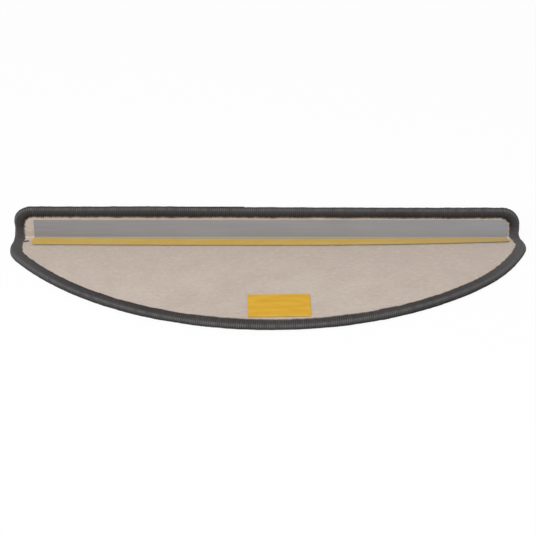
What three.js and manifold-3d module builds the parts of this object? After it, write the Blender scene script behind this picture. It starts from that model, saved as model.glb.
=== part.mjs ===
// Half-round stair tread mat, lying on its pile with the backing up and the nosing flap standing.
// Two bonded layers are bent square at the fold and whipped all round with thick yarn. A plastic
// angle is fixed inside the fold, and double-sided tape under yellow release paper lies on the
// angle and near the middle of the arc.
// Millimetres, +Z up. The fold runs along X, the arc points to -Y and the flap stands at +Y.

import * as THREE from "three";
import { ParametricGeometry } from "three/addons/geometries/ParametricGeometry.js";
import { mergeVertices } from "three/addons/utils/BufferGeometryUtils.js";
import Module from "manifold-3d";

const wasm = await Module();
wasm.setup();

// Layers of the mat
const carpetThickness = 5;
const backingThickness = 3;
const foldRadius = 3.5; // inside radius of the backing at the fold
const foldFacets = 8;

// Outline, measured over the whipping
const treadReachLeft = 325.7;
const treadReachRight = 326.5;
const treadDepth = 212.1; // from the flap's inner face to the front of the arc
const arcRadius = 395.2;
const arcCentreX = 3.6;
const rightEndRadius = 231.2; // the hand-cut arc tightens towards its right end
const rightEndBeyond = 15; // carried on, the end arc would pass this far beyond the right side
const lobeRadiusLeft = 44.3;
const lobeRadiusRight = 34.4;
const flapHeightLeft = 42.5; // above the backing
const flapHeightRight = 40.4;
const flapReachLeft = 321.5;
const flapReachRight = 319.2;
const flapCornerRadius = 23.4;
const neckTopLeft = 21.9; // the narrowing from the tread's side ends here on the flap's side
const neckTopRight = 13;
const neckEase = 0.18; // share of the neck over which it turns out of the upright
const arcDivisions = 16;

// Whipping yarn: one crest stands for two turns of the real yarn
const yarnLayer = 1.45; // yarn over each face of the mat
const seatDepth = 0.1; // the mat's edge reaches this far past the middle of the round outside
const whipReachIn = 7.2; // from the middle of the round outside to the inner edge
const whipLevelIn = 4.6; // the backing side keeps its full height this far inwards
const crestPitch = 5.2;
const valleyDepth = 0.4;

// Plastic angle
const riserLeg = 25.4;
const treadLeg = 20.5;
const angleWall = 1.5;
const angleLength = 600;
const angleLeftEnd = -296.7;
const angleFilletRadius = 1;
const angleTipRadius = 0.5;
const angleCornerRadius = 3.5; // upper right corner of the riser leg

// Tape and its release paper
const tapeThickness = 0.5;
const linerThickness = 0.25;
const nosingTapeWidth = 15;
const nosingTapeInset = 6.9; // from the flap's inner face
const nosingTapeStart = -297.4;
const nosingTapeEnd = 301.5;
const linerOverhang = 1;
const linerSkewEnd = 3.5; // the right end of the long liner is cut on the skew
const frontTaperStart = 20; // the angle's tread leg and its tape narrow from here to the right
const frontTaper = 9.4;
const stripBow = 2; // both long edges bow this far towards the front between the ends
const toeTapeWidth = 74.8;
const toeTapeDepth = 51.5;
const toeTapeX = 13.3;
const toeTapeFromFront = 43.7; // from the front of the arc to the middle of the patch
const toeTapeTurn = THREE.MathUtils.degToRad(1.1);

// Clearances
const layerGap = 0.1; // between flat faces that lie on each other
const seatGap = 0.3; // behind the angle
const slotGap = 0.52; // round the mat's edge in the whipping, whose facets cut the corner at the fold

// Levels and lengths that follow
const sheetThickness = carpetThickness + layerGap + backingThickness;
const halfSheet = sheetThickness / 2;
const whipRadius = halfSheet + yarnLayer;
const backingFace = whipRadius + halfSheet; // height of the backing above the floor
const middleRadius = foldRadius + halfSheet;
const foldLength = (middleRadius * Math.PI) / 2;
const middleOfDepth = (treadDepth - halfSheet - whipRadius) / 2;

// Solids

function toSolid(geometry) {
  const bare = geometry.clone();
  bare.deleteAttribute("normal");
  bare.deleteAttribute("uv");
  const merged = mergeVertices(bare, 1e-4);
  return new wasm.Manifold(
    new wasm.Mesh({
      numProp: 3,
      vertProperties: new Float32Array(merged.attributes.position.array),
      triVerts: new Uint32Array(merged.index.array),
    }),
  );
}

function toGeometry(solid) {
  const mesh = solid.getMesh();
  const geometry = new THREE.BufferGeometry();
  geometry.setAttribute("position", new THREE.BufferAttribute(mesh.vertProperties, 3));
  geometry.setIndex(new THREE.BufferAttribute(mesh.triVerts, 1));
  geometry.computeVertexNormals();
  return geometry;
}

// A shape drawn in plan, raised from one height to another.
function risenInZ(shape, low, high) {
  const geometry = new THREE.ExtrudeGeometry(shape, {
    depth: high - low,
    bevelEnabled: false,
    curveSegments: arcDivisions,
  });
  return geometry.translate(0, 0, low);
}

// A shape drawn as X and Z, extruded from one Y to another.
function runAlongY(shape, near, far) {
  const geometry = new THREE.ExtrudeGeometry(shape, {
    depth: far - near,
    bevelEnabled: false,
    curveSegments: arcDivisions,
  });
  return geometry.rotateX(Math.PI / 2).translate(0, far, 0);
}

// A section drawn as Y and Z, extruded from one X to another.
function runAlongX(shape, left, right) {
  const geometry = new THREE.ExtrudeGeometry(shape, {
    depth: right - left,
    bevelEnabled: false,
    curveSegments: foldFacets,
  });
  const yzToWorld = new THREE.Matrix4().makeBasis(
    new THREE.Vector3(0, 1, 0),
    new THREE.Vector3(0, 0, 1),
    new THREE.Vector3(1, 0, 0),
  );
  return geometry.applyMatrix4(yzToWorld).translate(left, 0, 0);
}

// The flat pattern: X across the mat, V up it, with V zero where the bend starts on the tread side

// Centre height of the fillet that joins an arc's inside to an upright line.
function filletHeight(arcCentre, radius, filletX, filletRadius) {
  const along = filletX - arcCentre.x;
  return arcCentre.y - Math.sqrt((radius - filletRadius) ** 2 - along ** 2);
}

function addNeck(path, start, end) {
  const handle = (end.y - start.y) * neckEase;
  path.bezierCurveTo(start.x, start.y + handle, end.x, end.y - handle, end.x, end.y);
}

// The mat's outline at a distance inside the outer edge of the whipping, anticlockwise. Each neck
// starts from the tread's side and ends on the flap's side at the height given.
function flatOutline(inset, leftNeck, rightNeck) {
  const bottom = foldRadius - treadDepth + inset;
  const topLeft = foldLength + flapHeightLeft - foldRadius - inset;
  const topRight = foldLength + flapHeightRight - foldRadius - inset;
  const flapLeft = inset - flapReachLeft;
  const flapRight = flapReachRight - inset;
  const treadLeft = inset - treadReachLeft;
  const treadRight = treadReachRight - inset;
  const radius = arcRadius - inset;
  const endRadius = rightEndRadius - inset;
  const lobeLeft = lobeRadiusLeft - inset;
  const lobeRight = lobeRadiusRight - inset;
  const corner = flapCornerRadius - inset;

  const centre = new THREE.Vector2(arcCentreX, bottom + radius);
  const endCentre = new THREE.Vector2(treadRight + rightEndBeyond - endRadius, 0);
  const rightEndStart = Math.asin((endCentre.x - centre.x) / (radius - endRadius));
  endCentre.y = centre.y - (radius - endRadius) * Math.cos(rightEndStart);
  const leftLobe = new THREE.Vector2(treadLeft + lobeLeft, 0);
  leftLobe.y = filletHeight(centre, radius, leftLobe.x, lobeLeft);
  const rightLobe = new THREE.Vector2(treadRight - lobeRight, 0);
  rightLobe.y = filletHeight(endCentre, endRadius, rightLobe.x, lobeRight);

  const down = -Math.PI / 2;
  const leftAngle = down - Math.asin((centre.x - leftLobe.x) / (radius - lobeLeft));
  const rightAngle = down + Math.asin((rightLobe.x - endCentre.x) / (endRadius - lobeRight));

  const path = new THREE.Shape();
  path.absarc(centre.x, centre.y, radius, leftAngle, down + rightEndStart, false);
  path.absarc(endCentre.x, endCentre.y, endRadius, down + rightEndStart, rightAngle, false);
  path.absarc(rightLobe.x, rightLobe.y, lobeRight, rightAngle, 0, false);
  addNeck(path, { x: treadRight, y: rightLobe.y }, { x: flapRight, y: rightNeck });
  path.lineTo(flapRight, topRight - corner);
  path.absarc(flapRight - corner, topRight - corner, corner, 0, Math.PI / 2, false);
  path.lineTo(flapLeft + corner, topLeft);
  path.absarc(flapLeft + corner, topLeft - corner, corner, Math.PI / 2, Math.PI, false);
  path.lineTo(flapLeft, leftNeck);
  addNeck(path, { x: flapLeft, y: leftNeck }, { x: treadLeft, y: leftLobe.y });
  path.absarc(leftLobe.x, leftLobe.y, lobeLeft, Math.PI, 2 * Math.PI + leftAngle, false);
  return path;
}

// A point of the flat pattern, bent into place. Rise is measured from the middle of the sheet
// towards the backing side.
function bent(x, v, rise) {
  if (v <= 0) return new THREE.Vector3(x, v - foldRadius, whipRadius + rise);
  const turn = Math.min(v, foldLength) / middleRadius;
  const radius = middleRadius - rise;
  const beyond = Math.max(v - foldLength, 0);
  return new THREE.Vector3(
    x,
    radius * Math.sin(turn) - foldRadius,
    backingFace + foldRadius - radius * Math.cos(turn) + beyond,
  );
}

// Sheet layers

// The L-shaped section of one layer between two rises, with the fold as arcs.
function layerSection(low, high) {
  const far = backingFace + 2 * flapHeightLeft;
  const front = -2 * treadDepth;
  const bendY = -foldRadius;
  const bendZ = backingFace + foldRadius;
  const floor = whipRadius + low;
  const face = whipRadius + high;
  const shape = new THREE.Shape();
  shape.moveTo(front, floor);
  shape.lineTo(bendY, floor);
  shape.absarc(bendY, bendZ, middleRadius - low, -Math.PI / 2, 0, false);
  shape.lineTo(bendY + middleRadius - low, far);
  shape.lineTo(bendY + middleRadius - high, far);
  shape.absarc(bendY, bendZ, middleRadius - high, 0, -Math.PI / 2, true);
  shape.lineTo(front, face);
  return shape;
}

// The space inside the outline: a prism over the tread and the fold, and one across the flap that
// starts inside the first. The layers have their necks below the fold, inside the whipping's.
function trimmer(inset) {
  const outline = flatOutline(inset, 0, 0).getPoints(arcDivisions);
  const reach = 4 * middleRadius;
  const split = backingFace + foldRadius;
  const right = flapReachRight - inset;
  const left = inset - flapReachLeft;
  const tread = outline.filter((p) => p.y <= 0).map((p) => new THREE.Vector2(p.x, p.y - foldRadius));
  // The tread's points run from the left end of the arc round to the left side of the fold.
  const rightFold = tread.findIndex((p) => p.x === right && p.y === -foldRadius);
  tread.splice(rightFold + 1, 0, new THREE.Vector2(right, reach), new THREE.Vector2(left, reach));
  const flap = outline
    .filter((p) => p.y > foldLength)
    .map((p) => new THREE.Vector2(p.x, p.y - foldLength + split));
  flap.unshift(new THREE.Vector2(right, backingFace));
  flap.push(new THREE.Vector2(left, backingFace));
  return toSolid(risenInZ(new THREE.Shape(tread), -reach, split)).add(
    toSolid(runAlongY(new THREE.Shape(flap), -reach, reach)),
  );
}

function sheetLayer(low, high) {
  const slab = toSolid(runAlongX(layerSection(low, high), -arcRadius, arcRadius));
  return toGeometry(slab.intersect(trimmer(whipRadius - seatDepth)));
}

function makeCarpetFace() {
  return sheetLayer(-halfSheet, carpetThickness - halfSheet);
}

function makeFeltBacking() {
  return sheetLayer(halfSheet - backingThickness, halfSheet);
}

// Whipping: a C-shaped section with crests and valleys, swept round the whole outline

// The section as [out, rise] pairs from the middle of its round outside, anticlockwise. It tapers
// to a thin inner edge on both faces of the mat.
function whippingSection(depth) {
  const radius = whipRadius - depth;
  const slot = halfSheet + slotGap;
  const innerEdge = depth - whipReachIn;
  const points = [new THREE.Vector2(innerEdge, -slot)];
  for (let turn = -90; turn <= 90; turn += 45) {
    const angle = THREE.MathUtils.degToRad(turn);
    points.push(new THREE.Vector2(radius * Math.cos(angle), radius * Math.sin(angle)));
  }
  points.push(new THREE.Vector2(-whipLevelIn, radius));
  points.push(new THREE.Vector2(innerEdge, slot));
  points.push(new THREE.Vector2(seatDepth + slotGap, slot));
  points.push(new THREE.Vector2(seatDepth + slotGap, -slot));
  return points;
}

// The yarn is one helix: each point of the section lies a little further along the edge than the
// one before it, and a whole turn ends on the start of the next crest. The section is laid out on
// the flat pattern and bent with it.
function makeEdgeWhipping() {
  const path = flatOutline(whipRadius, neckTopLeft, neckTopRight);
  const stations = 2 * Math.round(path.getLength() / crestPitch);
  const crest = whippingSection(0);
  const valley = whippingSection(valleyDepth);
  const sides = crest.length;
  const surface = (u, v, target) => {
    const station = Math.round(u * stations);
    const side = Math.round(v * sides);
    const along = ((station + (2 * side) / sides) / stations) % 1;
    const section = station % 2 ? valley : crest;
    const p = section[side % sides];
    const at = path.getPoint(along);
    const tangent = path.getTangent(along);
    target.copy(bent(at.x + p.x * tangent.y, at.y - p.x * tangent.x, p.y));
  };
  return new ParametricGeometry(surface, stations, sides);
}

// Plastic angle

function angleSection() {
  const heel = foldRadius - seatGap;
  const back = -seatGap;
  const base = backingFace + layerGap;
  const tip = angleTipRadius;
  const inner = angleWall + angleFilletRadius;
  const shape = new THREE.Shape();
  shape.moveTo(back - treadLeg, base);
  shape.lineTo(back - heel, base);
  shape.absarc(back - heel, base + heel, heel, -Math.PI / 2, 0, false);
  shape.lineTo(back, base + riserLeg - tip);
  shape.absarc(back - tip, base + riserLeg - tip, tip, 0, Math.PI / 2, false);
  shape.lineTo(back - angleWall, base + riserLeg);
  shape.lineTo(back - angleWall, base + inner);
  shape.absarc(back - inner, base + inner, angleFilletRadius, 0, -Math.PI / 2, true);
  shape.lineTo(back - treadLeg + tip, base + angleWall);
  shape.absarc(back - treadLeg + tip, base + angleWall - tip, tip, Math.PI / 2, Math.PI, false);
  return shape;
}

// The angle seen from the front, with one rounded upper corner.
function angleElevation() {
  const right = angleLeftEnd + angleLength;
  const top = backingFace + layerGap + riserLeg;
  const corner = angleCornerRadius;
  const shape = new THREE.Shape();
  shape.moveTo(angleLeftEnd, 0);
  shape.lineTo(right, 0);
  shape.lineTo(right, top - corner);
  shape.absarc(right - corner, top - corner, corner, 0, Math.PI / 2, false);
  shape.lineTo(angleLeftEnd, top);
  return shape;
}

// A strip along the fold seen from above, with bowed long edges. Its front edge runs back over the
// last stretch on the right, and its right end is longer at the front by the skew.
function stripPlan(left, right, back, front, skew) {
  const shape = new THREE.Shape();
  shape.moveTo(left, front + stripBow);
  shape.quadraticCurveTo((left + frontTaperStart) / 2, front, frontTaperStart, front);
  shape.quadraticCurveTo((frontTaperStart + right) / 2, front, right + skew, front + frontTaper);
  shape.lineTo(right, back + stripBow);
  shape.quadraticCurveTo((left + right) / 2, back - stripBow, left, back + stripBow);
  return shape;
}

function makeAngleProfile() {
  const bar = toSolid(runAlongX(angleSection(), -arcRadius, arcRadius));
  const ends = toSolid(runAlongY(angleElevation(), -2 * treadLeg, treadLeg));
  const right = angleLeftEnd + angleLength;
  const plan = stripPlan(angleLeftEnd - 1, right + 1, treadLeg, -seatGap - treadLeg, 0);
  const taper = toSolid(risenInZ(plan, 0, 2 * riserLeg + backingFace));
  return toGeometry(bar.intersect(ends).intersect(taper));
}

// Tapes and their release papers

const nosingTapeLevel = backingFace + layerGap + angleWall + layerGap;
const toeTapeLevel = backingFace + layerGap;

function makeNosingTape() {
  const back = -nosingTapeInset;
  const plan = stripPlan(nosingTapeStart, nosingTapeEnd, back, back - nosingTapeWidth, 0);
  return risenInZ(plan, nosingTapeLevel, nosingTapeLevel + tapeThickness);
}

function makeNosingTapeLiner() {
  const back = -nosingTapeInset;
  const left = nosingTapeStart - linerOverhang;
  const right = nosingTapeEnd + linerOverhang;
  const low = nosingTapeLevel + tapeThickness + layerGap;
  const front = back - nosingTapeWidth - linerOverhang / 2;
  return risenInZ(stripPlan(left, right, back, front, linerSkewEnd), low, low + linerThickness);
}

function rectangle(width, depth) {
  const shape = new THREE.Shape();
  shape.moveTo(-width / 2, -depth / 2);
  shape.lineTo(width / 2, -depth / 2);
  shape.lineTo(width / 2, depth / 2);
  shape.lineTo(-width / 2, depth / 2);
  return shape;
}

function makeToeTape() {
  const shape = rectangle(toeTapeWidth - 2 * linerOverhang, toeTapeDepth - linerOverhang);
  return risenInZ(shape, 0, tapeThickness);
}

function makeToeTapeLiner() {
  return risenInZ(rectangle(toeTapeWidth, toeTapeDepth), 0, linerThickness);
}

// Assembly

const anthraciteCarpet = new THREE.MeshStandardMaterial({ color: 0x3f3d3d, roughness: 1 });
const beigeFelt = new THREE.MeshStandardMaterial({ color: 0xc0b1a2, roughness: 1 });
const anthraciteYarn = new THREE.MeshStandardMaterial({ color: 0x4c4a4a, roughness: 0.85 });
const greyPlastic = new THREE.MeshStandardMaterial({ color: 0x8f8e8d, roughness: 0.5 });
const clearAdhesive = new THREE.MeshStandardMaterial({ color: 0xd8d2c4, roughness: 0.3 });
const yellowPaper = new THREE.MeshStandardMaterial({ color: 0xd6a839, roughness: 0.55 });

const mat = new THREE.Group();
mat.position.set((treadReachLeft - treadReachRight) / 2, middleOfDepth, 0);

function add(name, geometry, material, parent = mat) {
  const mesh = new THREE.Mesh(geometry, material);
  mesh.name = name;
  parent.add(mesh);
  return mesh;
}

add("carpet_face", makeCarpetFace(), anthraciteCarpet);
add("felt_backing", makeFeltBacking(), beigeFelt);
add("edge_whipping", makeEdgeWhipping(), anthraciteYarn);
add("angle_profile", makeAngleProfile(), greyPlastic);
add("nosing_tape", makeNosingTape(), clearAdhesive);
add("nosing_tape_liner", makeNosingTapeLiner(), yellowPaper);

const toePatch = new THREE.Group();
toePatch.position.set(toeTapeX, toeTapeFromFront - treadDepth, toeTapeLevel);
toePatch.rotation.z = toeTapeTurn;
mat.add(toePatch);
add("toe_tape", makeToeTape(), clearAdhesive, toePatch);
const toeLiner = add("toe_tape_liner", makeToeTapeLiner(), yellowPaper, toePatch);
toeLiner.position.z = tapeThickness + layerGap;

export default mat;
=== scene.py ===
# Half-round stair tread mat on a white floor, pile down and nosing flap standing.
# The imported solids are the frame. The whipping, the loose end of its yarn and the two bonded layers
# are modelled here over them, in metres, in the row frame. The angle, the tapes and their papers
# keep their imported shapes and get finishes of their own.

import bisect
import math
import random

import bmesh
import bpy
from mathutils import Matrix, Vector, kdtree, noise


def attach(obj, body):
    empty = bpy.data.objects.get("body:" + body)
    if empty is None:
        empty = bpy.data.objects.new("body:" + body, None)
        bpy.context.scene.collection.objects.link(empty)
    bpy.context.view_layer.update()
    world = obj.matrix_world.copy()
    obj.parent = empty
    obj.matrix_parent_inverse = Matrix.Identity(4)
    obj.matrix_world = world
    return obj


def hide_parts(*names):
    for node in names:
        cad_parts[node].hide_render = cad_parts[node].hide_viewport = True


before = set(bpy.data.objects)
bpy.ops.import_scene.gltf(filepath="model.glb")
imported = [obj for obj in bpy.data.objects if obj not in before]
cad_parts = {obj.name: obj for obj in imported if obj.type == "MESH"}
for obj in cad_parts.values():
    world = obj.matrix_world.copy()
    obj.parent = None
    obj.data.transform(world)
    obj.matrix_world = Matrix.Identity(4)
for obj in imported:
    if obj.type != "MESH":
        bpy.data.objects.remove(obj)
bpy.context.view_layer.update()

MM = 0.001

# Layers of the mat
CARPET = 5.0 * MM
BACKING = 3.0 * MM
LAYER_GAP = 0.1 * MM
HALF_SHEET = (CARPET + LAYER_GAP + BACKING) / 2
FOLD_RADIUS = 3.5 * MM
MIDDLE_RADIUS = FOLD_RADIUS + HALF_SHEET
FOLD_LENGTH = MIDDLE_RADIUS * math.pi / 2

# Outline over the whipping
TREAD_LEFT = 325.7 * MM
TREAD_RIGHT = 326.5 * MM
TREAD_DEPTH = 212.1 * MM
ARC_RADIUS = 395.2 * MM
ARC_CENTRE_X = 3.6 * MM
END_RADIUS = 231.2 * MM
END_BEYOND = 15.0 * MM
LOBE_LEFT = 44.3 * MM
LOBE_RIGHT = 34.4 * MM
FLAP_HEIGHT_LEFT = 42.5 * MM
FLAP_HEIGHT_RIGHT = 40.4 * MM
FLAP_LEFT = 321.5 * MM
FLAP_RIGHT = 319.2 * MM
FLAP_CORNER = 23.4 * MM
NECK_TOP_LEFT = 21.9 * MM
NECK_TOP_RIGHT = 13.0 * MM
NECK_EASE = 0.18

# Steps along the outline
OUTLINE_STEP = 0.5 * MM
LEAST_ARC_STEPS = 4
NECK_STEPS = 60

# Section of the whipping
WHIP_RADIUS = 5.5 * MM
WHIP_REACH = 8.95 * MM
WHIP_SQUARENESS = 4
WHIP_SIDES = 24

# Turns of the yarn: their ribs, their teeth on the felt side, and how much they differ
WRAP_PITCH = 2.6 * MM
WRAP_STEPS = 6
WRAP_RIB = 0.65 * MM
WRAP_BITE = 3.5 * MM
WRAP_SPREAD = 0.1 * MM
WRAP_STRAY = 0.6 * MM
WRAP_SEED = 5
WRAP_WELD = 0.01 * MM

# Slow swells and short bumps along the whipping: size, and lumps a metre
SWELL = 0.3 * MM
SWELL_LUMPS = 40
BUMPS = 0.28 * MM
BUMP_LUMPS = 110

# Places where the hand work bulges: x and v on the pattern, width, outwards and inwards
HAND_WORK = (
    (-318, -3, 13, 0.0, 2.4),
    (-320, -25, 13, 0.0, 2.6),
    (-314, 38, 9, 1.4, 0.0),
    (-150, 45, 55, 0.8, 0.3),
    (276, 43, 30, 0.6, 0.0),
)

# Felt
FELT_CELL = 2.5 * MM
FELT_THICKNESS = 2.6 * MM
FELT_WAVE = 0.3 * MM
FELT_LUMPS = 22

# Pile of the carpet face
PILE_CELL = 2.1 * MM
PILE_BODY = 4.2 * MM
PILE_DEPTH = 0.7 * MM
PILE_LUMPS = 620

# How far the whipping draws each face in, and over which width
EDGE_PINCH = 0.7 * MM
PINCH_WIDTH = 10.0 * MM

# Loose end of the yarn, left of the fold: points of the pattern, and heights over the felt
LOOSE_END = ((-310.5, -6.9), (-308.2, -6.9), (-305.9, -6.5), (-304.1, -6.1), (-303.3, -6.3))
LOOSE_RISE = (0.4, 0.7, 0.9, 1.0, 0.8)
LOOSE_TIP = 0.999
PLIES = 3
PLY_RADIUS = 0.42 * MM
PLY_STEPS = 24
PLY_SIDES = 8
PLY_TWIST = 0.8
PLY_SPREAD = 0.9
PLY_TAPER = 0.6
PLY_WELD = 0.001 * MM

# Colours, linear
YARN = (0.067, 0.063, 0.063, 1)
YARN_DARK = (0.05, 0.047, 0.047, 1)
# Painted sheen: the yarn drawn lighter towards the ends of the tread
YARN_PAINTED_SHEEN = (0.135, 0.129, 0.129, 1)
# Painted shade along the yarn's inner edge on the flap
YARN_PAINTED_INNER_SHADE = (0.016, 0.01, 0.007, 1)
YARN_LIGHT = (0.095, 0.091, 0.091, 1)
# Painted shade under the yarn and in the grooves between its turns
YARN_PAINTED_SHADE = (0.015, 0.012, 0.011, 1)
# Painted highlight on the yarn's lit band
YARN_PAINTED_HIGHLIGHT = (0.14, 0.136, 0.135, 1)
FELT = (0.565, 0.482, 0.415, 1)
FELT_DARK = (0.515, 0.432, 0.375, 1)
FELT_LIGHT = (0.62, 0.54, 0.475, 1)
FELT_FIBRE = (0.44, 0.36, 0.29, 1)
PILE = (0.05, 0.047, 0.047, 1)
PILE_DARK = (0.028, 0.026, 0.026, 1)
PILE_LIGHT = (0.1, 0.096, 0.095, 1)
PILE_FLECK = (0.22, 0.21, 0.2, 1)
ANGLE_GREY = (0.3, 0.302, 0.325, 1)
ANGLE_DARK = (0.277, 0.279, 0.3, 1)
ANGLE_LIGHT = (0.34, 0.344, 0.368, 1)
ANGLE_LEFT = (0.245, 0.247, 0.264, 1)
# Painted warm reflection of the felt and yellow paper on the angle's foot
ANGLE_FOOT_REFLECTION = (0.335, 0.305, 0.24, 1)
STRIP_YELLOW = (0.588, 0.375, 0.079, 1)
STRIP_PALE = (0.6, 0.41, 0.113, 1)
STRIP_DULL = (0.5, 0.35, 0.13, 1)
PATCH_YELLOW = (0.635, 0.34, 0.007, 1)
PATCH_PALE = (0.705, 0.405, 0.026, 1)
FILM = (0.68, 0.64, 0.55, 1)
FILM_DARK = (0.5, 0.46, 0.38, 1)
FLOOR_PAINT = (0.95, 0.95, 0.95, 1)
WHITE = (1, 1, 1, 1)

# Where a finish changes, as a start and an end: x across the mat, y towards the fold, z upwards
YARN_STANDS = (14 * MM, 28 * MM)
YARN_RIGHT_END = (170 * MM, 325 * MM)
YARN_LEFT_END = (-270 * MM, -325 * MM)
YARN_TOP_ENDS = (316 * MM, 306 * MM)
YARN_RIGHTWARDS = (40 * MM, 300 * MM)
FELT_FOLD_SHADE = (-10 * MM, 60 * MM)
ANGLE_TO_LEFT = (-60 * MM, -300 * MM)
ANGLE_REFLECTION_TO_FOOT = (13 * MM, 11.5 * MM)
PAPER_TO_RIGHT = (120 * MM, 300 * MM)

# How much of a coat of colour shows where it is full
RIGHT_SHEEN_SHARE = 0.9
LEFT_SHEEN_SHARE = 0.6
LIT_SHARE = 0.85
UNDER_SHARE = 0.45
UNDER_RIGHT_SHARE = 0.35
INNER_SHARE = 0.6
GROOVE_SHARE = 0.75
FOLD_SHADE_SHARE = 0.7

# Painted highlight on a lit band of the yarn: its place round the section in turns, and its shift at
# each end and on the flap
LIT_TURN = 0.065
LIT_EDGES = (0.015, 0.085)
LIT_RIGHT = (40 * MM, 180 * MM)
LIT_RIGHT_SHIFT = 0.065
LIT_LEFT = (-80 * MM, -200 * MM)
LIT_LEFT_SHIFT = 0.035
LIT_FLAP_SHIFT = 0.045

# Streaks in the lit band: the marks of the noise that they run between, and the least light
LIT_STREAKS = (0.36, 0.58)
LIT_LEAST = 0.42

# Painted shade on the under side of the yarn and along its inner edge on the flap, also in turns
UNDER_TURNS = (0.0, -0.1)
UNDER_RIGHT_SHIFT = 0.07
INNER_TURNS = (0.2, 0.34)

# Painted shade in the groove between two turns: how far it is from the middle of a turn
GROOVE_EDGES = (0.26, 0.5)

# Marks of a noise at which a cloud starts and is full
CLOUD_EDGES = (0.35, 0.65)

# Height of a bump from a coarse and a fine noise
COARSE_GRAIN = 0.7
FINE_GRAIN = 0.3

# Camera
LENS = 119.62
SENSOR_WIDTH = 36
CAMERA_DISTANCE = 2.2
CAMERA_ELEVATION = math.radians(29.742)
TARGET_FROM_FOLD = 77.48 * MM

# Light
ROOM_LIGHT = 0.45
LAMP_POWER = 122.0
LAMP_SIZE = 2.8
LAMP_PLACE = (-0.9, -2.5, 3.0)
FLOOR_SIZE = 14.0
FLOOR_GLOW = 0.93

# Place of the fold in the row frame
BACKING_FACE = WHIP_RADIUS + HALF_SHEET
ROW_X = (TREAD_LEFT - TREAD_RIGHT) / 2
ROW_Y = (TREAD_DEPTH - HALF_SHEET - WHIP_RADIUS) / 2


# The flat pattern: x across the mat, v up it, with v zero where the bend starts on the tread side


def arc_points(centre, radius, start, end):
    count = max(LEAST_ARC_STEPS, math.ceil(abs(end - start) * radius / OUTLINE_STEP))
    turns = [start + (end - start) * i / count for i in range(count)]
    return [Vector((centre.x + radius * math.cos(t), centre.y + radius * math.sin(t))) for t in turns]


def line_points(start, end):
    count = max(1, math.ceil((end - start).length / OUTLINE_STEP))
    return [start.lerp(end, i / count) for i in range(count)]


def bezier_points(a, b, c, d):
    points = []
    for i in range(NECK_STEPS):
        t = i / NECK_STEPS
        s = 1 - t
        points.append(a * s**3 + b * (3 * s * s * t) + c * (3 * s * t * t) + d * t**3)
    return points


def neck_points(start, end):
    """From the side of the tread to the side of the flap, or back."""
    handle = Vector((0, (end.y - start.y) * NECK_EASE))
    return bezier_points(start, start + handle, end - handle, end)


def fillet_height(centre, radius, x, fillet):
    """Height of the centre of a fillet that rounds off the inside of an arc."""
    return centre.y - math.sqrt((radius - fillet) ** 2 - (x - centre.x) ** 2)


def tread_arcs(inset):
    """The long arc, the tighter arc at its right end, and the right and left lobes.

    Each is its centre, its radius and the turns where it starts and ends.
    """
    tread_left = inset - TREAD_LEFT
    tread_right = TREAD_RIGHT - inset
    radius = ARC_RADIUS - inset
    end_radius = END_RADIUS - inset
    lobe_left = LOBE_LEFT - inset
    lobe_right = LOBE_RIGHT - inset

    centre = Vector((ARC_CENTRE_X, FOLD_RADIUS - TREAD_DEPTH + inset + radius))
    end_x = tread_right + END_BEYOND - end_radius
    end_turn = math.asin((end_x - centre.x) / (radius - end_radius))
    end_centre = Vector((end_x, centre.y - (radius - end_radius) * math.cos(end_turn)))
    left = Vector((tread_left + lobe_left, 0))
    left.y = fillet_height(centre, radius, left.x, lobe_left)
    right = Vector((tread_right - lobe_right, 0))
    right.y = fillet_height(end_centre, end_radius, right.x, lobe_right)

    down = -math.pi / 2
    left_turn = down - math.asin((centre.x - left.x) / (radius - lobe_left))
    right_turn = down + math.asin((right.x - end_centre.x) / (end_radius - lobe_right))
    return (
        (centre, radius, left_turn, down + end_turn),
        (end_centre, end_radius, down + end_turn, right_turn),
        (right, lobe_right, right_turn, 0),
        (left, lobe_left, math.pi, 2 * math.pi + left_turn),
    )


def flap_points(inset, right_side, left_side):
    """From the right side of the tread up its neck, round the flap and down the left neck."""
    top_left = FOLD_LENGTH + FLAP_HEIGHT_LEFT - FOLD_RADIUS - inset
    top_right = FOLD_LENGTH + FLAP_HEIGHT_RIGHT - FOLD_RADIUS - inset
    flap_left = inset - FLAP_LEFT
    flap_right = FLAP_RIGHT - inset
    corner = FLAP_CORNER - inset

    right_foot = Vector((flap_right, NECK_TOP_RIGHT))
    left_foot = Vector((flap_left, NECK_TOP_LEFT))
    right_corner = Vector((flap_right - corner, top_right - corner))
    left_corner = Vector((flap_left + corner, top_left - corner))
    points = neck_points(right_side, right_foot)
    points += line_points(right_foot, Vector((flap_right, right_corner.y)))
    points += arc_points(right_corner, corner, 0, math.pi / 2)
    points += line_points(Vector((right_corner.x, top_right)), Vector((left_corner.x, top_left)))
    points += arc_points(left_corner, corner, math.pi / 2, math.pi)
    points += line_points(Vector((flap_left, left_corner.y)), left_foot)
    return points + neck_points(left_foot, left_side)


def flat_outline(inset):
    """The outline at a distance inside the whipping's outer edge, anticlockwise."""
    long_arc, end_arc, right_lobe, left_lobe = tread_arcs(inset)
    right_side = Vector((TREAD_RIGHT - inset, right_lobe[0].y))
    left_side = Vector((inset - TREAD_LEFT, left_lobe[0].y))
    points = arc_points(*long_arc) + arc_points(*end_arc) + arc_points(*right_lobe)
    points += flap_points(inset, right_side, left_side)
    return points + arc_points(*left_lobe)


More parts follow.
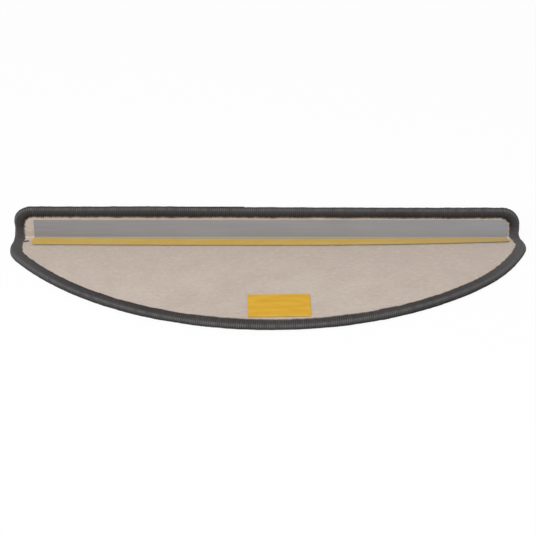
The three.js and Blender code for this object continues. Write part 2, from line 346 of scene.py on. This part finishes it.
class EdgeLine:
    """The middle of the whipping in the flat pattern, by distance along it."""

    def __init__(self, points):
        self.points = points
        self.starts = [0.0]
        for here, there in zip(points, points[1:] + points[:1]):
            self.starts.append(self.starts[-1] + (there - here).length)
        self.length = self.starts[-1]
        self.tree = kdtree.KDTree(len(points))
        for i, point in enumerate(points):
            self.tree.insert((point.x, point.y, 0), i)
        self.tree.balance()

    def at(self, distance):
        """The point that far along the line, and the direction that the line runs in there."""
        distance %= self.length
        i = bisect.bisect_right(self.starts, distance) - 1
        count = len(self.points)
        here = self.points[i]
        there = self.points[(i + 1) % count]
        share = (distance - self.starts[i]) / (self.starts[i + 1] - self.starts[i])
        before = (here - self.points[i - 1]).normalized()
        after = (self.points[(i + 2) % count] - there).normalized()
        return here.lerp(there, share), before.lerp(after, share).normalized()

    def inside(self, x, v):
        """How far a point of the pattern lies inside the line."""
        place, i, _ = self.tree.find((x, v, 0))
        along = self.points[(i + 1) % len(self.points)] - self.points[i - 1]
        outward = Vector((along.y, -along.x)).normalized()
        return -outward.dot(Vector((x - place.x, v - place.y)))


def bent(x, v, rise):
    """A point of the pattern, bent into place. Rise is from the middle of the sheet to the backing."""
    if v <= 0:
        return Vector((x + ROW_X, v - FOLD_RADIUS + ROW_Y, WHIP_RADIUS + rise))
    turn = min(v, FOLD_LENGTH) / MIDDLE_RADIUS
    radius = MIDDLE_RADIUS - rise
    beyond = max(v - FOLD_LENGTH, 0)
    return Vector(
        (
            x + ROW_X,
            radius * math.sin(turn) - FOLD_RADIUS + ROW_Y,
            BACKING_FACE + FOLD_RADIUS - radius * math.cos(turn) + beyond,
        )
    )


def lumps(x, y, scale, layer):
    """Smooth noise over the pattern, in lumps a metre. Each layer of it is drawn afresh."""
    return noise.noise(Vector((x, y, layer)) * scale)


edge = EdgeLine(flat_outline(WHIP_RADIUS))
WRAPS = round(edge.length / WRAP_PITCH)


# Meshes and objects


def mapped_grid(columns, rows):
    """A grid whose vertices hold their share of the columns and rows, kept as UVs too."""
    mesh = bmesh.new()
    mesh.loops.layers.uv.new("UVMap")
    bmesh.ops.create_grid(mesh, x_segments=columns, y_segments=rows, size=0.5, calc_uvs=True)
    bmesh.ops.translate(mesh, verts=mesh.verts, vec=(0.5, 0.5, 0))
    return mesh


def mesh_data(name, mesh):
    data = bpy.data.meshes.new(name)
    mesh.to_mesh(data)
    mesh.free()
    return data


def linked(name, data):
    made = bpy.data.objects.new(name, data)
    bpy.context.scene.collection.objects.link(made)
    return made


def finished(name, mesh, finish):
    """A mesh made an object that rides on the mat's only body."""
    data = mesh_data(name, mesh)
    data.polygons.foreach_set("use_smooth", [True] * len(data.polygons))
    data.materials.append(finish)
    piece = linked(name, data)
    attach(piece, "root")
    return piece


# Finishes


class Socket:
    """One output of a node. Arithmetic on it adds Math nodes."""

    def __init__(self, finish, output):
        self.finish = finish
        self.output = output

    def maths(self, operation, *others):
        return self.finish.maths(operation, self, *others)

    def __add__(self, other):
        return self.maths("ADD", other)

    def __sub__(self, other):
        return self.maths("SUBTRACT", other)

    def __rsub__(self, other):
        return self.finish.maths("SUBTRACT", other, self)

    def __mul__(self, other):
        return self.maths("MULTIPLY", other)

    def __abs__(self):
        return self.maths("ABSOLUTE")


class Finish:
    """A node tree being made, for a material or the world."""

    def __init__(self, owner):
        owner.use_nodes = True
        self.tree = owner.node_tree
        self.tree.nodes.clear()

    def node(self, kind, settings=None, values=None, output=0):
        made = self.tree.nodes.new(kind)
        for name, value in (settings or {}).items():
            setattr(made, name, value)
        for key, value in (values or {}).items():
            socket = self.find(made.inputs, key)
            if isinstance(value, Socket):
                self.tree.links.new(value.output, socket)
            else:
                socket.default_value = value
        if made.outputs:
            return Socket(self, self.find(made.outputs, output))
        return None

    def find(self, sockets, key):
        if isinstance(key, int):
            return sockets[key]
        return next(s for s in sockets if key in (s.identifier, s.name))

    def maths(self, operation, *terms):
        return self.node("ShaderNodeMath", {"operation": operation}, dict(enumerate(terms)))

    def blend(self, share, low, high):
        settings = {"data_type": "RGBA", "clamp_factor": True}
        values = {"Factor_Float": share, "A_Color": low, "B_Color": high}
        return self.node("ShaderNodeMix", settings, values, "Result_Color")

    def clouded(self, clouds, low, high):
        """Two colours that run into each other in soft clouds."""
        return self.blend(self.ramp(clouds, *CLOUD_EDGES), low, high)

    def coated(self, colour, *coats):
        """A colour under coats that go on in turn, each as its share and its own colour."""
        for share, coat in coats:
            colour = self.blend(share, colour, coat)
        return colour

    def places(self, kind="Object"):
        return self.node("ShaderNodeTexCoord", output=kind)

    def axis(self, vector, name):
        return self.node("ShaderNodeSeparateXYZ", {}, {"Vector": vector}, name)

    def point(self, x, y):
        return self.node("ShaderNodeCombineXYZ", {}, {"X": x, "Y": y})

    def stretched(self, vector, x=1.0, y=1.0):
        return self.node("ShaderNodeMapping", {}, {"Vector": vector, "Scale": (x, y, 1)})

    def noise(self, vector, scale, detail=2.0, roughness=0.5):
        values = {"Vector": vector, "Scale": scale, "Detail": detail, "Roughness": roughness}
        return self.node("ShaderNodeTexNoise", {}, values)

    def ramp(self, share, low, high, start=0.0, end=1.0):
        values = {"Value": share, "From Min": low, "From Max": high, "To Min": start, "To Max": end}
        return self.node("ShaderNodeMapRange", {"clamp": True}, values)

    def specks(self, source, low, high, share):
        """How much of a coat shows: none up to the low mark of a noise, its share from the high one."""
        return self.ramp(source, low, high) * share

    def grain(self, coarse, fine):
        return coarse * COARSE_GRAIN + fine * FINE_GRAIN

    def bump(self, height, distance, strength):
        values = {"Height": height, "Distance": distance, "Strength": strength}
        return self.node("ShaderNodeBump", {}, values)

    def surface(self, values):
        made = self.node("ShaderNodeBsdfPrincipled", {}, values)
        self.node("ShaderNodeOutputMaterial", {}, {"Surface": made})


def new_finish(name):
    material = bpy.data.materials.new(name)
    return material, Finish(material)


def edge_coats(finish, turn, streaks):
    """Painted light and shade over the whipping: sheen at its ends, a highlight on its lit band, shade
    on its under side and along its inner edge.
    """
    across_mat = finish.axis(finish.places(), "X")
    standing = finish.ramp(finish.axis(finish.places(), "Z"), *YARN_STANDS)
    level = 1 - standing
    # Painted sheen: lighter yarn towards both ends of the level part
    right_sheen = finish.ramp(across_mat, *YARN_RIGHT_END).maths("POWER", 2) * level
    left_sheen = finish.ramp(across_mat, *YARN_LEFT_END) * level

    # Painted highlight: a lit band round the section, shifted at the ends and on the flap
    lit_right = finish.ramp(across_mat, *LIT_RIGHT) * LIT_RIGHT_SHIFT
    lit_left = finish.ramp(across_mat, *LIT_LEFT) * LIT_LEFT_SHIFT
    lit_turn = (lit_right + lit_left) * level + standing * LIT_FLAP_SHIFT + LIT_TURN
    lit = 1 - finish.ramp(abs(turn - lit_turn), *LIT_EDGES)
    lit = lit * finish.ramp(streaks, *LIT_STREAKS, start=LIT_LEAST)

    # Painted shade on the yarn's under side, stronger to the right
    rightwards = finish.ramp(across_mat, *YARN_RIGHTWARDS)
    under_shade = finish.ramp(turn - rightwards * UNDER_RIGHT_SHIFT, *UNDER_TURNS) * level
    under_shade = under_shade * (rightwards * UNDER_RIGHT_SHARE + UNDER_SHARE)

    # Painted shade along the inner edge of the yarn on the flap
    inner_shade = finish.ramp(abs(across_mat), *YARN_TOP_ENDS) * standing
    inner_shade = finish.ramp(turn, *INNER_TURNS) * inner_shade
    outer_coats = (
        (right_sheen * RIGHT_SHEEN_SHARE + left_sheen * LEFT_SHEEN_SHARE, YARN_PAINTED_SHEEN),
        (lit * LIT_SHARE, YARN_PAINTED_HIGHLIGHT),
        (under_shade, YARN_PAINTED_SHADE),
    )
    return outer_coats, (inner_shade * INNER_SHARE, YARN_PAINTED_INNER_SHADE)


def yarn_finish():
    """Soft dark yarn with painted light and shade: a highlight on its outer side, sheen towards its
    ends, and shade under it, along its inner edge on the flap and in its grooves. Its UVs run along the
    edge and round the section.
    """
    material, finish = new_finish("whipping_yarn")
    place = finish.places("UV")
    turn = (finish.axis(place, "Y") + 0.5).maths("FRACT") - 0.5
    wraps = finish.axis(place, "X") * WRAPS
    across_wrap = wraps.maths("FRACT")
    strand = finish.point(across_wrap, wraps - across_wrap + finish.axis(place, "Y"))
    fibres = finish.noise(finish.stretched(strand, x=7.0, y=5.0), scale=1.0, detail=3.0)
    turns = finish.noise(finish.stretched(strand, x=0.2, y=0.9), scale=1.0)
    streaks = finish.noise(finish.stretched(strand, x=0.15, y=0.3), scale=1.0)
    fade = finish.noise(finish.places(), scale=9.0, detail=3.0)
    outer_coats, inner_coat = edge_coats(finish, turn, streaks)
    colour = finish.coated(
        finish.clouded(fade, YARN_DARK, YARN),
        *outer_coats,
        (finish.specks(turns, low=0.45, high=0.75, share=0.5), YARN_LIGHT),
        (finish.specks(fibres, low=0.5, high=0.8, share=0.4), YARN_LIGHT),
        inner_coat,
        # Painted shade in the grooves between turns
        (finish.specks(abs(across_wrap - 0.5), *GROOVE_EDGES, GROOVE_SHARE), YARN_PAINTED_SHADE),
    )
    normal = finish.bump(fibres, distance=0.25 * MM, strength=0.6)
    values = {"Base Color": colour, "Roughness": 0.95, "Specular IOR Level": 0.1, "Normal": normal}
    finish.surface(values)
    return material


def felt_finish():
    """Needled beige felt with painted shade that darkens it towards the fold, its fibres lying mostly
    across the mat.
    """
    material, finish = new_finish("felt")
    place = finish.places()
    cloud = finish.noise(place, scale=28.0, detail=3.0)
    clumps = finish.noise(finish.stretched(place, x=0.6), scale=220.0, detail=3.0, roughness=0.6)
    strands = finish.noise(finish.stretched(place, x=0.25), scale=900.0)
    # Painted shade: the felt darker towards the fold
    fold_shade = finish.ramp(finish.axis(place, "Y"), *FELT_FOLD_SHADE)
    colour = finish.coated(
        finish.clouded(cloud, FELT_DARK, FELT),
        (fold_shade * FOLD_SHADE_SHARE, FELT_DARK),
        (finish.specks(clumps, low=0.5, high=0.75, share=0.7), FELT_LIGHT),
        (finish.specks(strands, low=0.52, high=0.72, share=0.7), FELT_FIBRE),
    )
    normal = finish.bump(finish.grain(clumps, strands), distance=0.5 * MM, strength=0.5)
    finish.surface({"Base Color": colour, "Roughness": 1.0, "Normal": normal})
    return material


def carpet_finish():
    """Anthracite needled pile with paler flecks."""
    material, finish = new_finish("carpet_pile")
    place = finish.places()
    cloud = finish.noise(place, scale=35.0)
    tufts = finish.noise(place, scale=420.0, detail=3.0, roughness=0.7)
    flecks = finish.noise(place, scale=1100.0)
    colour = finish.coated(
        finish.clouded(cloud, PILE_DARK, PILE),
        (finish.specks(tufts, low=0.5, high=0.75, share=1.0), PILE_LIGHT),
        (finish.specks(flecks, low=0.62, high=0.75, share=0.6), PILE_FLECK),
    )
    normal = finish.bump(finish.grain(tufts, flecks), distance=0.8 * MM, strength=0.8)
    finish.surface({"Base Color": colour, "Roughness": 1.0, "Normal": normal})
    return material


def angle_finish():
    """Extruded grey plastic with faint lines along it, darker to the left, with a painted warm
    reflection of the felt and yellow paper at its foot.
    """
    material, finish = new_finish("angle_plastic")
    place = finish.places()
    lines = finish.noise(finish.stretched(place, x=0.02), scale=900.0)
    haze = finish.noise(finish.stretched(place, x=0.3), scale=30.0, detail=3.0)
    scuffs = finish.noise(finish.stretched(place, x=0.15), scale=500.0, detail=4.0, roughness=0.7)
    colour = finish.coated(
        finish.clouded(haze, ANGLE_DARK, ANGLE_GREY),
        (finish.ramp(finish.axis(place, "X"), *ANGLE_TO_LEFT), ANGLE_LEFT),
        (finish.specks(lines, low=0.45, high=0.7, share=0.35), ANGLE_LIGHT),
        # Painted warm reflection at the foot of the angle
        (finish.ramp(finish.axis(place, "Z"), *ANGLE_REFLECTION_TO_FOOT), ANGLE_FOOT_REFLECTION),
    )
    roughness = finish.ramp(scuffs, low=0.35, high=0.7, start=0.42, end=0.6)
    normal = finish.bump(lines, distance=0.04 * MM, strength=0.4)
    finish.surface({"Base Color": colour, "Roughness": roughness, "Normal": normal})
    return material


def paper_finish(name, yellow, pale, dull):
    """Siliconised release paper, a little cloudy, with faint creases across it, duller to the right."""
    material, finish = new_finish(name)
    place = finish.places()
    cloud = finish.noise(finish.stretched(place, x=0.25), scale=150.0, detail=3.0)
    creases = finish.noise(finish.stretched(place, y=0.12), scale=90.0)
    to_right = finish.ramp(finish.axis(place, "X"), *PAPER_TO_RIGHT)
    colour = finish.coated(finish.clouded(cloud, yellow, pale), (to_right, dull))
    roughness = finish.ramp(cloud, low=0.3, high=0.7, start=0.4, end=0.52)
    normal = finish.bump(creases, distance=0.15 * MM, strength=0.3)
    values = {"Base Color": colour, "Roughness": roughness, "Specular IOR Level": 0.25, "Normal": normal}
    finish.surface(values)
    return material


def adhesive_finish():
    """Clear tacky film on a thin milky carrier."""
    material, finish = new_finish("adhesive_film")
    mottle = finish.noise(finish.places(), scale=300.0, detail=3.0)
    colour = finish.blend(finish.ramp(mottle, low=0.4, high=0.6), FILM, FILM_DARK)
    roughness = finish.ramp(mottle, low=0.3, high=0.7, start=0.3, end=0.45)
    finish.surface({"Base Color": colour, "Roughness": roughness})
    return material


# Whipping


def hand_work(place):
    """How far the whipping bulges outwards and inwards at a place of the pattern."""
    outwards = 0
    inwards = 0
    for x, v, width, out, reach in HAND_WORK:
        away = (place - Vector((x, v)) * MM).length / (width * MM)
        share = math.exp(-(away**2))
        outwards += out * MM * share
        inwards += reach * MM * share
    return outwards, inwards


def section(turn, radius, reach):
    """The whipping's section: round outside, and nearly level on both faces up to its inner edge."""
    across = math.cos(turn * 2 * math.pi)
    height = math.sin(turn * 2 * math.pi)
    if across >= 0:
        return across * radius, height * radius
    level = (1 - abs(across) ** WHIP_SQUARENESS) ** (1 / WHIP_SQUARENESS)
    return across * reach, math.copysign(level, height) * radius


def whipped_edge():
    """One yarn turned round the whole edge. Each turn runs on into the next."""
    draw = random.Random(WRAP_SEED)
    swells = [draw.uniform(-WRAP_SPREAD, WRAP_SPREAD) for _ in range(WRAPS)]
    strays = [draw.uniform(-WRAP_STRAY, WRAP_STRAY) for _ in range(WRAPS)]
    mesh = mapped_grid(WRAPS * WRAP_STEPS, WHIP_SIDES)
    for vertex in mesh.verts:
        step = round(vertex.co.x * WRAPS * WRAP_STEPS)
        turn = vertex.co.y
        wrap = step // WRAP_STEPS % WRAPS
        place, run = edge.at((step / WRAP_STEPS + turn) * edge.length / WRAPS)
        crest = math.sqrt(1 - (2 * (step % WRAP_STEPS) / WRAP_STEPS - 1) ** 2)
        swell = SWELL * lumps(place.x, place.y, SWELL_LUMPS, layer=0)
        swell += BUMPS * lumps(place.x, place.y, BUMP_LUMPS, layer=3)
        swell += swells[wrap]
        radius = WHIP_RADIUS + swell - WRAP_RIB * (1 - crest)
        outwards, inwards = hand_work(place)
        reach = WHIP_REACH + swell + outwards + inwards - WRAP_BITE * (1 - crest**2)
        reach += strays[wrap]
        across, height = section(turn, radius, reach)
        across += outwards
        vertex.co = bent(place.x + across * run.y, place.y - across * run.x, height)
    bmesh.ops.remove_doubles(mesh, verts=mesh.verts, dist=WRAP_WELD)
    bmesh.ops.recalc_face_normals(mesh, faces=mesh.faces)
    return mesh


# The two bonded layers


def pattern_rows(cell):
    """Heights up the pattern for the rows of a sheet, closer together round the bend."""
    below = math.ceil(TREAD_DEPTH / cell)
    inside = 2 * math.ceil(FOLD_LENGTH / cell)
    above = math.ceil(FLAP_HEIGHT_LEFT / cell)
    rows = [-cell * (below - i) for i in range(below)]
    rows += [FOLD_LENGTH * i / inside for i in range(inside)]
    return rows + [FOLD_LENGTH + cell * i for i in range(above + 1)]


def sheet_face(cell, rise_at):
    """One face of a sheet over the whole pattern, trimmed inside the whipping."""
    rows = pattern_rows(cell)
    columns = math.ceil((TREAD_LEFT + TREAD_RIGHT) / cell)
    mesh = mapped_grid(columns, len(rows) - 1)
    for vertex in mesh.verts:
        vertex.co.x = vertex.co.x * columns * cell - TREAD_LEFT
        vertex.co.y = rows[round(vertex.co.y * (len(rows) - 1))]
    middles = [(face, face.calc_center_median()) for face in mesh.faces]
    outside = [face for face, middle in middles if edge.inside(middle.x, middle.y) < 0]
    bmesh.ops.delete(mesh, geom=outside, context="FACES")
    for vertex in mesh.verts:
        x, v = vertex.co.xy
        vertex.co = bent(x, v, rise_at(x, v, edge.inside(x, v)))
    return mesh


def thickened(mesh, thickness):
    bmesh.ops.solidify(mesh, geom=mesh.faces, thickness=thickness)
    bmesh.ops.recalc_face_normals(mesh, faces=mesh.faces)
    return mesh


def felt_rise(x, v, depth):
    """The felt's face: a slow waviness, drawn in by the whipping."""
    wave = FELT_WAVE * (1 + lumps(x, v, FELT_LUMPS, layer=1)) / 2
    return HALF_SHEET - wave - drawn_in(depth)


def pile_rise(x, v, depth):
    """The pile's face, rough with small tufts, drawn in by the whipping."""
    tuft = PILE_DEPTH * (1 + lumps(x, v, PILE_LUMPS, layer=2)) / 2
    return tuft + drawn_in(depth) - HALF_SHEET


def drawn_in(depth):
    return EDGE_PINCH * max(0, 1 - depth / PINCH_WIDTH) ** 2


def flat_size():
    """Width, height and area of the pattern inside the middle of the whipping, where both layers end."""
    xs = [p.x for p in edge.points]
    ys = [p.y for p in edge.points]
    pairs = zip(edge.points, edge.points[1:] + edge.points[:1])
    area = sum(a.x * b.y - b.x * a.y for a, b in pairs) / 2
    return (max(xs) - min(xs), max(ys) - min(ys)), area


# Loose end of the yarn


def ply_mesh(points, ply):
    """One ply, wound round the line through the points and closed at both ends."""
    mesh = mapped_grid(PLY_STEPS, PLY_SIDES)
    for vertex in mesh.verts:
        share, turn = vertex.co.xy
        step = min(share, LOOSE_TIP) * (len(points) - 1)
        i = int(step)
        place = points[i].lerp(points[i + 1], step - i)
        run = (points[i + 1] - points[i]).normalized()
        rise = LOOSE_RISE[i] + (LOOSE_RISE[i + 1] - LOOSE_RISE[i]) * (step - i)
        twist = 2 * math.pi * (ply / PLIES + PLY_TWIST * share)
        spread = PLY_RADIUS * (1 + PLY_SPREAD * share * share)
        radius = PLY_RADIUS * (1 - PLY_TAPER * share * share)
        angle = 2 * math.pi * turn
        side = spread * math.cos(twist) + radius * math.cos(angle)
        height = HALF_SHEET + rise * MM + spread * math.sin(twist) + radius * math.sin(angle)
        place = place + Vector((-run.y, run.x)) * side
        vertex.co = bent(place.x, place.y, height)
    bmesh.ops.remove_doubles(mesh, verts=mesh.verts, dist=PLY_WELD)
    bmesh.ops.holes_fill(mesh, edges=[e for e in mesh.edges if e.is_boundary])
    bmesh.ops.recalc_face_normals(mesh, faces=mesh.faces)
    return mesh


def loose_end():
    """The plies of the yarn's end, twisted round each other and coming apart at the tip."""
    points = [Vector((x * MM, v * MM)) for x, v in LOOSE_END]
    whole = bmesh.new()
    for ply in range(PLIES):
        part = mesh_data("ply", ply_mesh(points, ply))
        whole.from_mesh(part)
        bpy.data.meshes.remove(part)
    return whole


# Camera, light and floor


def camera():
    data = bpy.data.cameras.new("camera")
    data.lens = LENS
    data.sensor_width = SENSOR_WIDTH
    made = linked("camera", data)
    target = Vector((ROW_X, ROW_Y - TARGET_FROM_FOLD, BACKING_FACE))
    back = Vector((0, -math.cos(CAMERA_ELEVATION), math.sin(CAMERA_ELEVATION)))
    made.location = target + back * CAMERA_DISTANCE
    made.rotation_euler = (math.pi / 2 - CAMERA_ELEVATION, 0, 0)
    bpy.context.scene.camera = made


def lamp():
    data = bpy.data.lights.new("lamp", "AREA")
    data.shape = "DISK"
    data.size = LAMP_SIZE
    data.energy = LAMP_POWER
    made = linked("lamp", data)
    made.location = LAMP_PLACE
    made.rotation_euler = Vector(LAMP_PLACE).to_track_quat("Z", "Y").to_euler()


def seen_directly(finish):
    """1 for a ray from the camera, or one that a surface mirrors or lets through."""
    path = "ShaderNodeLightPath"
    camera_ray = finish.node(path, output="Is Camera Ray")
    glossy_ray = finish.node(path, output="Is Glossy Ray")
    clear_ray = finish.node(path, output="Is Transmission Ray")
    return camera_ray.maths("MAXIMUM", glossy_ray.maths("MAXIMUM", clear_ray))


def room():
    world = bpy.data.worlds.new("room")
    bpy.context.scene.world = world
    finish = Finish(world)
    strength = finish.ramp(seen_directly(finish), 0, 1, start=ROOM_LIGHT)
    light = finish.node("ShaderNodeBackground", {}, {"Color": WHITE, "Strength": strength})
    finish.node("ShaderNodeOutputWorld", {}, {"Surface": light})


def floor():
    """A white floor that glows where it is seen, and is clear from below."""
    material, finish = new_finish("floor")
    paint = finish.node("ShaderNodeBsdfDiffuse", {}, {"Color": FLOOR_PAINT})
    glow = finish.node("ShaderNodeEmission", {}, {"Color": WHITE, "Strength": 1.0})
    share = seen_directly(finish) * FLOOR_GLOW
    lit = finish.node("ShaderNodeMixShader", {}, {0: share, 1: paint, 2: glow})
    behind = finish.node("ShaderNodeNewGeometry", output="Backfacing")
    clear = finish.node("ShaderNodeBsdfTransparent")
    shown = finish.node("ShaderNodeMixShader", {}, {0: behind, 1: lit, 2: clear})
    finish.node("ShaderNodeOutputMaterial", {}, {"Surface": shown})
    mesh = bmesh.new()
    bmesh.ops.create_grid(mesh, x_segments=1, y_segments=1, size=FLOOR_SIZE / 2)
    data = mesh_data("floor", mesh)
    data.materials.append(material)
    linked("floor", data)


def refinish(node, finish):
    """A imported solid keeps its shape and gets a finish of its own."""
    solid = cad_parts[node]
    solid.data.materials.clear()
    solid.data.materials.append(finish)


camera()
lamp()
room()
floor()

yarn = yarn_finish()
whipping = finished("whipping", whipped_edge(), yarn)
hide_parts("edge_whipping")
finished("loose_yarn_end", loose_end(), yarn)

flat, area = flat_size()
felt_mesh = thickened(sheet_face(FELT_CELL, felt_rise), FELT_THICKNESS)
felt = finished("felt_sheet", felt_mesh, felt_finish())
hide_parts("felt_backing")

# The pile's face looks down, so the carpet thickens the other way
carpet_mesh = thickened(sheet_face(PILE_CELL, pile_rise), -PILE_BODY)
carpet = finished("carpet_sheet", carpet_mesh, carpet_finish())
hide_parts("carpet_face")

refinish("angle_profile", angle_finish())
refinish("nosing_tape_liner", paper_finish("nosing_liner_paper", STRIP_YELLOW, STRIP_PALE, STRIP_DULL))
refinish("toe_tape_liner", paper_finish("toe_liner_paper", PATCH_YELLOW, PATCH_PALE, PATCH_PALE))
film = adhesive_finish()
refinish("nosing_tape", film)
refinish("toe_tape", film)

bpy.context.scene.view_settings.view_transform = "Standard"
